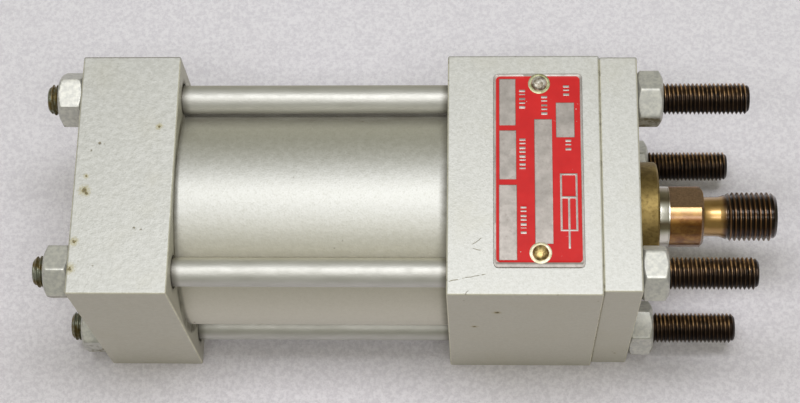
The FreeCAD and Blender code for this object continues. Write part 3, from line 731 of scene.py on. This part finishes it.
def add_piece(name, points, faces, materials, place=Matrix.Identity(4), face_materials=None,
              sharp=38.0):
    """Makes a mesh object from points in millimetres, with equal points merged."""
    mesh = bpy.data.meshes.new(name)
    mesh.from_pydata(points, [], faces)
    for material in materials:
        mesh.materials.append(material)
    if face_materials is not None:
        mesh.polygons.foreach_set("material_index", face_materials)
    work = bmesh.new()
    work.from_mesh(mesh)
    bmesh.ops.remove_doubles(work, verts=work.verts, dist=2e-4)
    bmesh.ops.dissolve_degenerate(work, dist=1e-4, edges=work.edges)
    bmesh.ops.recalc_face_normals(work, faces=work.faces)
    work.to_mesh(mesh)
    work.free()
    mesh.transform(Matrix.Scale(MM, 4) @ place)
    mesh.shade_smooth()
    mesh.set_sharp_from_angle(angle=math.radians(sharp))
    piece = bpy.data.objects.new(name, mesh)
    bpy.context.scene.collection.objects.link(piece)
    return piece


def stands_for(piece, node):
    """The piece takes a CAD node's place, on that node's body."""
    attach(piece, NODES[node]["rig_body"])
    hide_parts(node)


def interpolator(table):
    """The straight-line function through (x, value) points."""
    def read(x):
        if x <= table[0][0]:
            return table[0][1]
        for (x1, value1), (x2, value2) in zip(table, table[1:]):
            if x <= x2:
                return value1 + (value2 - value1) * (x - x1) / (x2 - x1)
        return table[-1][1]
    return read


def smooth_lower(first, second, width):
    """The lower of two numbers, rounded off where they are nearly equal."""
    gap = max(width - abs(first - second), 0.0)
    return min(first, second) - gap * gap / (4 * width)


def make_tie_rods(material):
    low, high = corner_of("tie_rod_1")
    cap_low, _ = corner_of("rear_cap")
    tip, chamfer = 3.05, 0.95
    end = ((0.12, 0.0), (0.12, 2.2), (0.0, 2.6), (0.0, tip))
    hidden = TIE_ROOT - 0.02
    nut_rear = cap_low.x - NUT_HEIGHT
    rear_end, front_start = nut_rear + 0.6, NUT_HEIGHT - 0.6
    rear_limit = interpolator(((low.x, tip), (low.x + chamfer, TIE_MAJOR),
                               (nut_rear - 0.15, TIE_MAJOR), (nut_rear + 0.15, TIE_SHANK),
                               (rear_end, hidden)))
    front_limit = interpolator(((front_start, hidden), (NUT_HEIGHT - 0.3, TIE_SHANK),
                                (NUT_HEIGHT, TIE_MAJOR), (high.x - chamfer, TIE_MAJOR),
                                (high.x, tip)))
    for number, (side_y, side_z) in enumerate(CORNERS, start=1):
        skin = Skin(48)
        skin.turned([(low.x + depth, radius) for depth, radius in end])
        skin.thread(low.x, rear_end, TIE_PITCH, TIE_ROOT, TIE_MAJOR, rear_limit)
        skin.turned([(rear_end, hidden), (rear_end + 0.3, TIE_SHANK), (cap_low.x + 20, TIE_SHANK),
                     (-80.0, TIE_SHANK), (-20.0, TIE_SHANK), (front_start - 0.3, TIE_SHANK),
                     (front_start, hidden)])
        skin.thread(front_start, high.x, TIE_PITCH, TIE_ROOT, TIE_MAJOR, front_limit)
        skin.turned([(high.x - depth, radius) for depth, radius in reversed(end)])
        start = Matrix.Rotation(math.radians(77.0 * number), 4, "X")
        move = Matrix.Translation((0, side_y * TIE_HALF_SPACING, side_z * TIE_HALF_SPACING))
        piece = add_piece("threaded_tie_rod_%d" % number, skin.points, skin.faces, [material],
                          move @ start)
        stands_for(piece, "tie_rod_%d" % number)


def hexagon(turn):
    """The radius of a softened hexagon whose corners stand at turn, in degrees."""
    def shape(x, radius, angle):
        if radius < NUT_FACE - 0.01:
            return radius
        facet = (math.degrees(angle) - turn) % 60.0
        here = NUT_APOTHEM / math.cos(math.radians(facet - 30.0))
        beside = NUT_APOTHEM / math.cos(math.radians(90.0 - facet if facet > 30 else 30 + facet))
        return smooth_lower(radius, smooth_lower(here, beside, 0.30), 0.18)
    return shape


def make_nuts(material):
    cap_low, _ = corner_of("rear_cap")
    rise = 1 / math.tan(math.radians(30))
    beyond = 9.0  # outside the corners, so that the hexagon cuts it
    edge = [(depth, NUT_FACE + depth * rise) for depth in (0.0, 0.12, 0.3, 0.5, 0.7, 0.9, 1.1)]
    outside = edge + [(1.5, beyond), (NUT_HEIGHT / 2, beyond), (NUT_HEIGHT - 1.5, beyond)]
    outside += [(NUT_HEIGHT - depth, radius) for depth, radius in reversed(edge)]
    bore = [(NUT_HEIGHT, 4.35), (NUT_HEIGHT - 0.45, 3.75), (NUT_HEIGHT - 0.5, NUT_BORE),
            (0.5, NUT_BORE), (0.45, 3.75), (0.0, 4.35), (0.0, NUT_FACE)]
    for row, turns in (("front", FRONT_TURNS), ("rear", REAR_TURNS)):
        for number, (turn, (side_y, side_z)) in enumerate(zip(turns, CORNERS), start=1):
            skin = Skin(96, [math.radians(turn + 60 * count) for count in range(6)])
            skin.turned(outside + bore, hexagon(turn))
            station = 0.0 if row == "front" else cap_low.x - NUT_HEIGHT
            move = Matrix.Translation((station, side_y * TIE_HALF_SPACING,
                                       side_z * TIE_HALF_SPACING))
            node = "%s_nut_%d" % (row, number)
            piece = add_piece("bevelled_" + node, skin.points, skin.faces, [material], move)
            stands_for(piece, node)


def make_piston_rod(material):
    low, high = corner_of("piston_rod")
    piston_low, piston_high = corner_of("piston")
    middle = (piston_low.x + piston_high.x) / 2
    edge_angle = math.degrees(math.acos(FLAT_HALF / ROD_RADIUS))
    corners = [math.radians(FLAT_TURN + side + sign * (edge_angle + extra))
               for side in (0, 180) for sign in (-1, 1) for extra in (0.0, 1.5)]
    skin = Skin(72, corners)

    def milled(x, radius, angle):
        if not FLAT_START - 0.005 < x < SHOULDER + 0.001:
            return radius
        facing = abs(math.cos(angle - math.radians(FLAT_TURN)))
        return min(radius, FLAT_HALF / max(facing, 0.01))

    # The stepped rear end that carries the piston, with the groove of its O-ring
    rear = ROD_RADIUS - 1.5875
    groove = rear - 1.45
    front = [(FLAT_START - 0.55, ROD_RADIUS), (FLAT_START - 0.45, ROD_RADIUS - 0.06),
             (FLAT_START - 0.35, ROD_RADIUS), (FLAT_START - 0.08, ROD_RADIUS),
             (FLAT_START - 0.006, ROD_RADIUS - 0.07), (FLAT_START, ROD_RADIUS)]
    body = [(x, ROD_RADIUS) for x in (FLAT_START + 0.08, 12.0, 15.0,
                                      SHOULDER - SHOULDER_CHAMFER)]
    skin.turned([(low.x, 0.0), (low.x, rear - 1), (low.x + 1, rear), (middle - 1.1, rear),
                 (middle - 1.1, groove), (middle + 1.1, groove), (middle + 1.1, rear),
                 (piston_high.x, rear), (piston_high.x, ROD_RADIUS), (-60.0, ROD_RADIUS),
                 (-20.0, ROD_RADIUS), (5.0, ROD_RADIUS)] + front + body
                + [(SHOULDER - 0.4, ROD_RADIUS - 0.36), (SHOULDER - 0.1, ROD_RADIUS - 0.68),
                   (SHOULDER, ROD_RADIUS - 0.9), (SHOULDER, 5.6), (SHOULDER + 0.15, 5.3),
                   (SHOULDER + 0.5, NECK_RADIUS), (NECK_END - 0.3, NECK_RADIUS),
                   (NECK_END, NECK_RADIUS + 0.05)], milled)
    limit = interpolator(((NECK_END + 0.5, NECK_RADIUS + 0.05), (NECK_END + 3.5, ROD_THREAD_MAJOR),
                          (high.x - 1.3, ROD_THREAD_MAJOR), (high.x, ROD_TIP_RADIUS)))
    skin.thread(NECK_END, high.x, ROD_THREAD_PITCH, ROD_THREAD_ROOT, ROD_THREAD_MAJOR, limit)
    # The end face, with a centre hole
    skin.turned([(high.x, ROD_TIP_RADIUS), (high.x, 1.7), (high.x - 0.6, 1.2),
                 (high.x - 1.6, 0.0)])
    piece = add_piece("threaded_piston_rod", skin.points, skin.faces, [material])
    stands_for(piece, "piston_rod")


# Nameplate areas: (low, high) from its rear edge, then (low, high) from its far edge
WINDOWS = ((1.5, 5.5, 1.5, 14.1), (1.5, 5.6, 15.5, 28.5), (1.4, 5.7, 30.0, 49.5),
           (10.2, 14.6, 12.5, 45.3), (15.6, 20.1, 8.0, 17.3))
# Rows of plain dashes: (distance from the rear edge, start from the far edge, dashes)
CAPTIONS = ((6.5, 4.5, 5), (6.5, 17.7, 8), (6.7, 35.6, 7), (12.0, 6.2, 5), (17.5, 3.3, 3),
            (17.9, 18.0, 3))
DASH_HEIGHT, DASH_STEP = 1.4, 1.1
DASH_LENGTHS = (0.5, 0.3, 0.55, 0.4, 0.6, 0.3, 0.5, 0.45)
BARS = tuple((rear, rear + DASH_HEIGHT, start + DASH_STEP * count,
              start + DASH_STEP * count + DASH_LENGTHS[count])
             for rear, start, dashes in CAPTIONS for count in range(dashes))
# The generic symbol of a cylinder: a box, a piston and a rod
SYMBOL = ((16.4, 16.8, 27.0, 42.0), (20.2, 20.6, 27.0, 42.0), (16.4, 20.6, 27.0, 27.4),
          (16.4, 20.6, 41.6, 42.0), (16.4, 20.6, 33.0, 33.5), (18.3, 18.7, 33.5, 46.5))
FIELD_MARGIN = (0.63, 0.55, 0.75, 1.25)  # silver border: rear, front, far, near
SCREW_CENTRES = ((-24.7, 23.7), (-24.7, -21.2))  # (x, y) of the far and the near screw
SCREW_RING = 2.75


def inside_any(p, q, areas, grow=0.0):
    return any(p1 - grow <= p <= p2 + grow and q1 - grow <= q <= q2 + grow
               for p1, p2, q1, q2 in areas)


def grid_lines(length, edges, bevel, gap):
    """Sorted positions from 0 to length: two at each edge and no gap wider than gap."""
    lines = {0.0, length}
    for edge in edges:
        lines.update((round(edge - bevel, 4), round(edge + bevel, 4)))
    lines = sorted(line for line in lines if 0 <= line <= length)
    filled = []
    for low, high in zip(lines, lines[1:]):
        count = max(1, math.ceil((high - low) / gap))
        filled += [low + (high - low) * part / count for part in range(count)]
    return filled + [length]


def make_nameplate(red, silver):
    low, high = corner_of("nameplate")
    length, width = high.x - low.x, high.y - low.y
    bevel, corner, skirt = 0.05, 1.2, high.z - 0.08
    rear, front, far, near = FIELD_MARGIN
    field = ((rear, length - front, far, width - near),)
    areas = WINDOWS + BARS + SYMBOL + field
    widest = 0.8
    across = grid_lines(length, [edge for area in areas for edge in area[:2]]
                        + [bevel, length - bevel], bevel, widest)
    along = grid_lines(width, [edge for area in areas for edge in area[2:]]
                       + [bevel, width - bevel], bevel, widest)

    def height(p, q):
        rim = min(p, q, length - p, width - q)
        if rim < 0.02:
            return skirt
        if inside_any(p, q, WINDOWS, -0.01):
            return high.z - 0.16
        wave = 0.02 * math.sin(0.45 * p + 0.3) * math.sin(0.23 * q + 1.0)
        if not inside_any(p, q, field, -0.01):
            return high.z
        return high.z - 0.05 + (0.03 if inside_any(p, q, BARS + SYMBOL, 0.01) else 0.0) + wave

    def rounded(p, q):
        """Moves a point outside a rounded corner onto its arc."""
        centre_p = min(max(p, corner), length - corner)
        centre_q = min(max(q, corner), width - corner)
        away = math.hypot(p - centre_p, q - centre_q)
        if away > corner:
            p = centre_p + (p - centre_p) * corner / away
            q = centre_q + (q - centre_q) * corner / away
        return low.x + p, high.y - q

    points = [(*rounded(p, q), height(p, q)) for p in across for q in along]
    faces, kinds = [], []
    count = len(along)
    for i in range(len(across) - 1):
        for j in range(count - 1):
            faces.append([i * count + j, i * count + j + 1, (i + 1) * count + j + 1,
                          (i + 1) * count + j])
            p, q = (across[i] + across[i + 1]) / 2, (along[j] + along[j + 1]) / 2
            plain = inside_any(p, q, field) and not inside_any(p, q, WINDOWS + BARS + SYMBOL)
            kinds.append(0 if plain else 1)
    outline = list(range(count))
    outline += [i * count + count - 1 for i in range(1, len(across))]
    outline += [(len(across) - 1) * count + j for j in range(count - 2, -1, -1)]
    outline += [i * count for i in range(len(across) - 2, 0, -1)]
    base = len(points)
    points += [(points[index][0], points[index][1], low.z) for index in outline]
    total = len(outline)
    for k in range(total):
        follow = (k + 1) % total
        faces.append([outline[k], outline[follow], base + follow, base + k])
        kinds.append(1)
    faces.append([base + k for k in range(total)])
    kinds.append(1)
    piece = add_piece("nameplate_relief", points, faces, [red, silver], face_materials=kinds,
                      sharp=30.0)
    stands_for(piece, "nameplate")


def make_plate_screws(materials, dimple_materials):
    for number, material in enumerate(materials, start=1):
        node = "plate_screw_%d" % number
        low, high = corner_of(node)
        x, y = SCREW_CENTRES[number - 1]
        top = high.z - low.z
        seat = top - 1.1
        skin = Skin(40)
        dome = [(seat + 1.05 * math.sin(math.radians(a)) ** 0.9,
                 2.0 * math.cos(math.radians(a)) ** 0.55) for a in range(0, 90, 9)]
        skin.turned([(0.0, 0.0), (0.0, 0.85), (0.3, 0.95), (seat, 0.95), (seat, 1.9)] + dome
                    + [(top - 0.005, 0.0)])
        upright = Matrix.Rotation(math.radians(-90), 4, "Y")
        piece = add_piece("domed_" + node, skin.points, skin.faces, [material],
                          Matrix.Translation((x, y, low.z)) @ upright)
        stands_for(piece, node)
        dimple = Skin(40)
        dimple.turned([(-0.2, 1.0), (-0.2, SCREW_RING), (0.0, SCREW_RING),
                       (0.05, SCREW_RING - 0.15), (0.08, SCREW_RING - 0.4), (0.03, 2.0),
                       (0.02, 1.0), (-0.2, 1.0)])
        plate_top = Matrix.Translation((x, y, corner_of("nameplate")[1].z))
        ring = add_piece("plate_dimple_%d" % number, dimple.points, dimple.faces,
                         [dimple_materials[number - 1]], plate_top @ upright)
        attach(ring, "housing")


def make_port_threads(material):
    """The female pipe thread in each port, as a thin ridged sleeve."""
    outer, inner, pitch = 7.34, 6.75, 1.411
    start, end = 0.9, 13.0
    ridge = interpolator(((start, outer), (start + 0.8, inner), (end - 0.6, inner), (end, outer)))
    for name, x in PORT_STATIONS.items():
        face = corner_of("rear_cap" if name == "rear" else "front_head")[1].y
        skin = Skin(64)
        skin.helix(start, end, pitch, lambda depth, height: max(
            outer - height * (outer - inner), ridge(depth)))
        turn = Matrix.Rotation(math.radians(-90), 4, "Z")
        piece = add_piece("port_thread_" + name, skin.points, skin.faces, [material],
                          Matrix.Translation((x, face, 0.0)) @ turn)
        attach(piece, "housing")


# ---- stage -----------------------------------------------------------------------------------

FLOOR_LEVEL = -BLOCK_HALF
CAMERA_PLACE = (-38.27, -166.08, 454.48)
CAMERA_RIGHT = (0.99893, 0.01684, -0.04297)
CAMERA_DOWN = (0.00070, -0.93644, -0.35084)
CAMERA_LENS = 82.614


def make_floor(material):
    mesh = bpy.data.meshes.new("floor")
    half = 1500.0
    corners = [(-half, -half), (half, -half), (half, half), (-half, half)]
    mesh.from_pydata([(x * MM, y * MM, FLOOR_LEVEL * MM) for x, y in corners], [],
                     [(0, 1, 2, 3)])
    mesh.materials.append(material)
    floor = bpy.data.objects.new("floor", mesh)
    bpy.context.scene.collection.objects.link(floor)


def add_light(name, place, target, size, power, tint):
    data = bpy.data.lights.new(name, "AREA")
    data.shape = "RECTANGLE"
    data.size, data.size_y = (side * MM for side in size)
    data.energy = power
    data.color = tint
    light = bpy.data.objects.new(name, data)
    light.location = Vector(place) * MM
    aim = Vector(target) - Vector(place)
    light.rotation_euler = aim.to_track_quat("-Z", "Y").to_euler()
    bpy.context.scene.collection.objects.link(light)


def make_lights():
    centre = (-50, 0, 0)
    add_light("overhead", (-50, 70, 800), centre, (620, 190), 3.5, (0.975, 0.98, 1.0))
    add_light("front_overhead", (-50, -330, 780), centre, (620, 120), 1.5, (1.0, 0.99, 0.98))
    world = bpy.data.worlds.new("studio")
    world.use_nodes = True
    background = world.node_tree.nodes["Background"]
    background.inputs["Color"].default_value = (1.0, 0.99, 0.72, 1.0)
    background.inputs["Strength"].default_value = 0.21
    bpy.context.scene.world = world


def make_camera():
    data = bpy.data.cameras.new("camera")
    data.sensor_width = 36.0
    data.lens = CAMERA_LENS
    data.clip_start = 0.01
    camera = bpy.data.objects.new("camera", data)
    right = Vector(CAMERA_RIGHT).normalized()
    down = Vector(CAMERA_DOWN)
    down = (down - right * down.dot(right)).normalized()
    forward = right.cross(down)
    camera.matrix_world = Matrix((
        (right.x, -down.x, -forward.x, CAMERA_PLACE[0] * MM),
        (right.y, -down.y, -forward.y, CAMERA_PLACE[1] * MM),
        (right.z, -down.z, -forward.z, CAMERA_PLACE[2] * MM),
        (0, 0, 0, 1)))
    bpy.context.scene.collection.objects.link(camera)
    bpy.context.scene.camera = camera


def paint_cad_nodes():
    looks = {"cap_paint": make_cap_paint(), "head_paint": make_head_paint(),
             "tube_paint": make_tube_paint(), "gland_bronze": make_gland_bronze(),
             "seal_rubber": make_rubber(), "wear_plastic": make_wear_plastic(),
             "piston_iron": make_bare_metal("piston_iron_look", linear(150, 148, 142),
                                            linear(120, 117, 110), 0.01, 0.38),
             "plain_steel": make_bare_metal("plain_steel_look", linear(176, 174, 168),
                                            linear(140, 137, 128), 0.005, 0.3)}
    for node in NODES.values():
        for index, material in enumerate(node.data.materials):
            if material.name in looks:
                node.data.materials[index] = looks[material.name]
    return looks


def build():
    looks = paint_cad_nodes()
    make_tie_rods(make_tie_rod_steel())
    make_nuts(make_nut_paint())
    make_piston_rod(make_rod_chrome())
    make_nameplate(make_label_red(), make_label_silver())
    make_plate_screws([
        make_screw_metal("far_screw_look", linear(226, 221, 212), linear(132, 122, 106)),
        make_screw_metal("near_screw_look", linear(206, 182, 122), linear(128, 104, 60))], [
        make_screw_metal("far_dimple_look", linear(186, 186, 152), linear(150, 150, 110)),
        make_screw_metal("near_dimple_look", linear(226, 220, 198), linear(198, 190, 156))])
    make_port_threads(looks["plain_steel"])
    make_floor(make_floor_look())
    make_lights()
    make_camera()
    bpy.context.scene.view_settings.view_transform = "Standard"


build()
